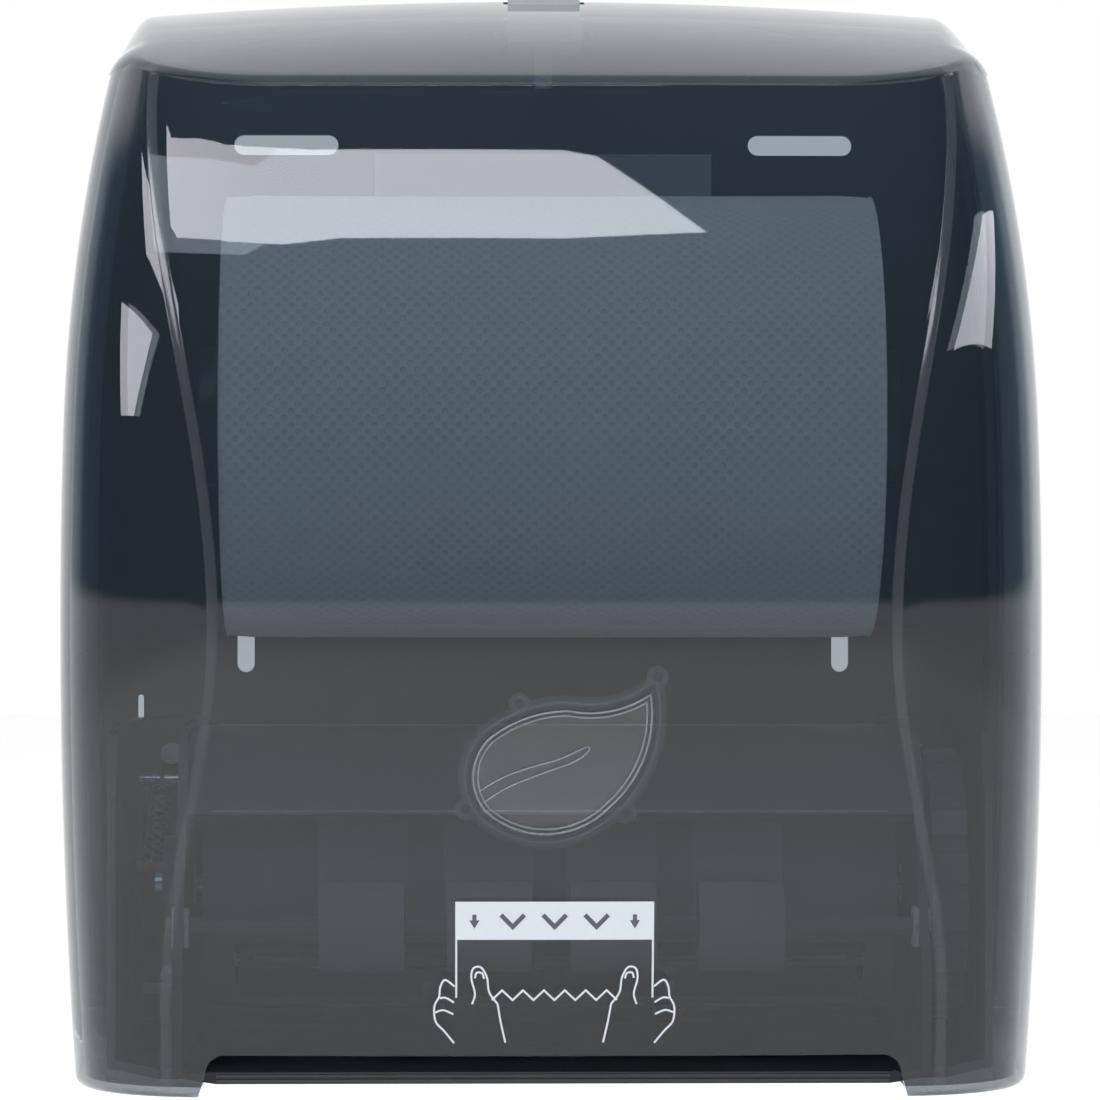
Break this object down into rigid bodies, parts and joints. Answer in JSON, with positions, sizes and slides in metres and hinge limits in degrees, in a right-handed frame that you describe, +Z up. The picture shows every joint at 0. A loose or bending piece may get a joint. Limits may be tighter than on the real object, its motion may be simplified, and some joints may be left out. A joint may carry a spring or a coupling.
{
  "type": "roll towel dispenser",
  "caption": "Wall-hung roll towel dispenser with a see-through hinged cover, a roll on swing arms, a feed drum with its own knife and a towel exit at the foot.",
  "frame": {"origin": "middle of the back face, on the wall", "axes": "+X to the right seen from the front, +Y into the wall, so the front faces -Y, +Z up"},
  "size_m": [0.3104, 0.215, 0.3505],
  "materials": {
    "smoked_cover": "clear tinted plastic, glossy",
    "clear_lens": "clear plastic, glossy",
    "chassis_plastic": "dark moulded plastic, satin",
    "label_paper": "pale printed paper",
    "mechanism_plastic": "grey moulded plastic, satin",
    "bush_plastic": "natural white plastic",
    "drum_plastic": "grey moulded plastic",
    "grip_rubber": "soft grey rubber",
    "steel": "bright steel",
    "spring_steel": "spring wire",
    "paper": "embossed white paper",
    "cardboard": "spiral-wound cardboard",
    "arm_plastic": "dark moulded plastic",
    "latch_plastic": "pale grey moulded plastic"
  },
  "bodies": {
    "chassis": {"back_plate": "chassis_plastic", "loading_label": "label_paper", "left_side_frame": "mechanism_plastic", "right_side_frame": "mechanism_plastic", "drum_bearings": "bush_plastic", "mechanism_hood": "mechanism_plastic", "exit_deck": "mechanism_plastic", "axle_saddles": "bush_plastic", "saddle_springs": "spring_steel", "drive_spring": "spring_steel", "spring_post": "steel", "arm_lugs": "chassis_plastic", "arm_pins": "steel", "latch_ears": "chassis_plastic", "latch_pin": "steel", "latch_spring": "spring_steel", "hinge_pins": "mechanism_plastic", "frame_screws": "steel"},
    "cover": {"cover_shell": "smoked_cover", "window_lens": "clear_lens", "window_stakes": "smoked_cover", "latch_keeper": "steel"},
    "latch": {"latch_lever": "latch_plastic"},
    "towel_roll": {"paper_roll": "paper", "roll_core": "cardboard"},
    "left_arm": {"left_roll_arm": "arm_plastic"},
    "right_arm": {"right_roll_arm": "arm_plastic"},
    "feed_drum": {"drum_front_half": "drum_plastic", "drum_rear_half": "drum_plastic", "drum_grips": "grip_rubber", "drum_caps": "drum_plastic", "drum_shaft": "steel", "drive_crank": "drum_plastic", "hand_wheel": "latch_plastic"},
    "knife": {"knife_carrier": "drum_plastic", "knife_blade": "steel", "knife_pins": "steel"},
    "pinch_roller_set": {"pinch_axle": "steel", "pinch_rollers": "grip_rubber"}
  },
  "joints": [
    {"name": "cover_hinge", "type": "hinge", "parent": "chassis", "child": "cover", "pos_m": [0, -0.016, -0.163], "axis": [1, 0, 0], "range_deg": [0, 90]},
    {"name": "latch_tilt", "type": "hinge", "parent": "chassis", "child": "latch", "pos_m": [0, -0.012, 0.1655], "axis": [1, 0, 0], "range_deg": [0, 15], "stiffness_Nm_per_rad": 0.05, "springref_deg": -5.73},
    {"name": "roll_spin", "type": "hinge", "parent": "chassis", "child": "towel_roll", "pos_m": [0, -0.107, 0.034], "axis": [1, 0, 0], "continuous": true},
    {"name": "left_arm_swing", "type": "hinge", "parent": "chassis", "child": "left_arm", "pos_m": [-0.1065, -0.012, 0.034], "axis": [0, 0, -1], "range_deg": [0, 10], "stiffness_Nm_per_rad": 0.3, "springref_deg": -11.46},
    {"name": "right_arm_swing", "type": "hinge", "parent": "chassis", "child": "right_arm", "pos_m": [0.1065, -0.012, 0.034], "axis": [0, 0, 1], "range_deg": [0, 10], "stiffness_Nm_per_rad": 0.3, "springref_deg": -11.46},
    {"name": "drum_turn", "type": "hinge", "parent": "chassis", "child": "feed_drum", "pos_m": [0, -0.095, -0.114], "axis": [1, 0, 0], "continuous": true, "deforming": ["drive_spring"]},
    {"name": "knife_swing", "type": "hinge", "parent": "feed_drum", "child": "knife", "pos_m": [0, -0.10081, -0.13729], "axis": [1, 0, 0], "range_deg": [0, 38], "stiffness_Nm_per_rad": 0.05, "springref_deg": -11.46},
    {"name": "pinch_turn", "type": "hinge", "parent": "chassis", "child": "pinch_roller_set", "pos_m": [0, -0.14834, -0.1236], "axis": [1, 0, 0], "continuous": true}
  ],
  "couplings": [
    {"joint": "pinch_turn", "follows": "drum_turn", "ratio": -2.9197}
  ]
}
